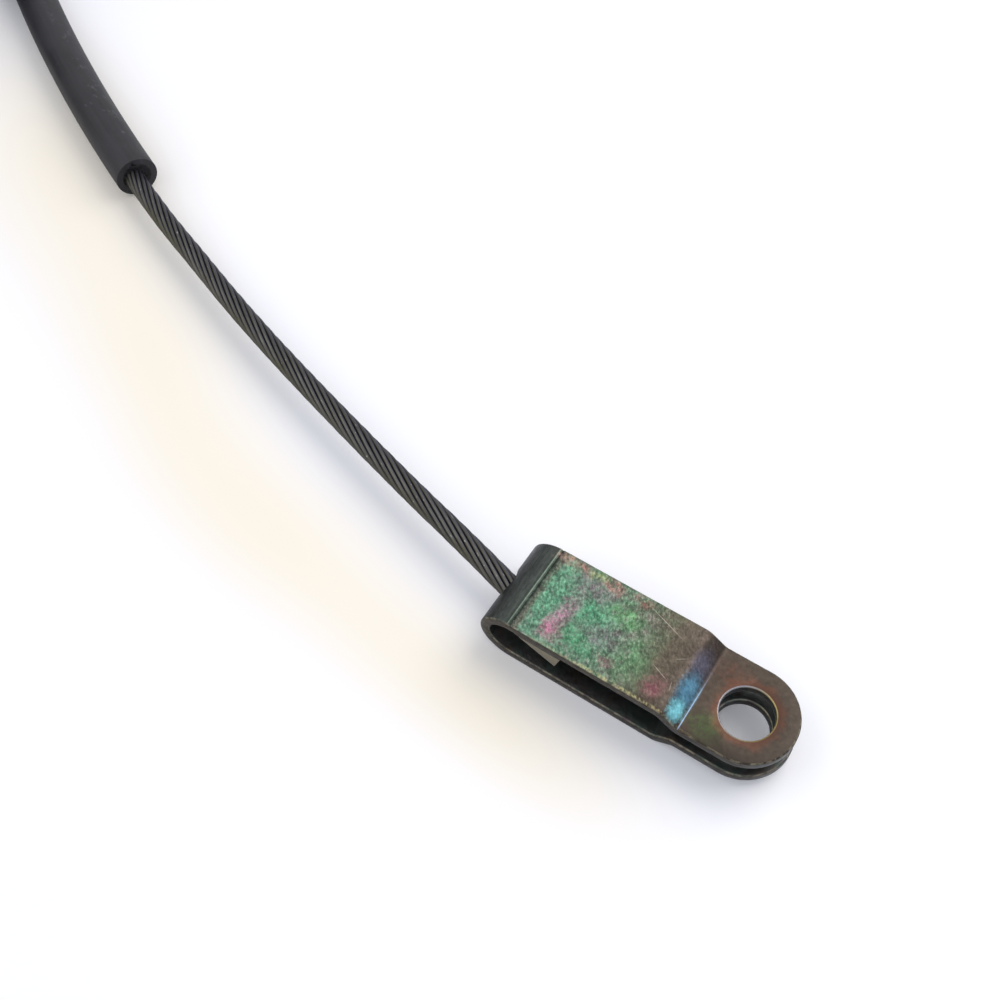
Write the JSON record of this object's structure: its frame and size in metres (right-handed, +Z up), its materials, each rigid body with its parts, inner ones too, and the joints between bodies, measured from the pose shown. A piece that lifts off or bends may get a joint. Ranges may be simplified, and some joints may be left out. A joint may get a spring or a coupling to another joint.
{
  "type": "parking brake cable",
  "caption": "Parking brake cable: a folded steel clevis on a wire rope that slides in a black tube, which is coiled for storage.",
  "frame": {"origin": "on the surface that the cable lies on, below the middle of the clevis's box", "axes": "+X along the clevis from its bend to its ears, +Z up through its two legs"},
  "size_m": [0.327, 0.1109, 0.0271],
  "materials": {
    "plating": "dark iridescent chromate plating",
    "rope": "dark greased strand",
    "sleeve": "dull zinc",
    "tube": "matte black",
    "tie": "satin black"
  },
  "bodies": {
    "sheath": {"near_tube": "tube", "coiled_tube": "tube", "far_tube": "tube", "coil_tie_1": "tie", "coil_tie_2": "tie", "coil_tie_3": "tie"},
    "near_rope": {"near_wire": "rope", "end_stop": "sleeve"},
    "clevis_end": {"clevis": "plating"},
    "far_rope": {"far_wire": "rope", "far_nipple": "sleeve"}
  },
  "joints": [
    {"name": "cable_slide", "type": "hinge", "parent": "sheath", "child": "near_rope", "pos_m": [0.05123, 0.45164, 0.0041], "axis": [0, 0, 1], "range_deg": [-1, 5.03]},
    {"name": "clevis_swivel", "type": "hinge", "parent": "near_rope", "child": "clevis_end", "pos_m": [-0.0235, 0, 0.0052], "axis": [0.9636, -0.2672, 0], "continuous": true},
    {"name": "far_cable_slide", "type": "hinge", "parent": "sheath", "child": "far_rope", "pos_m": [-0.25242, 0.05304, 0], "axis": [0, 0, 1], "range_deg": [-49.7, 9.9]}
  ],
  "couplings": [
    {"joint": "far_cable_slide", "follows": "cable_slide", "ratio": -9.8655}
  ]
}
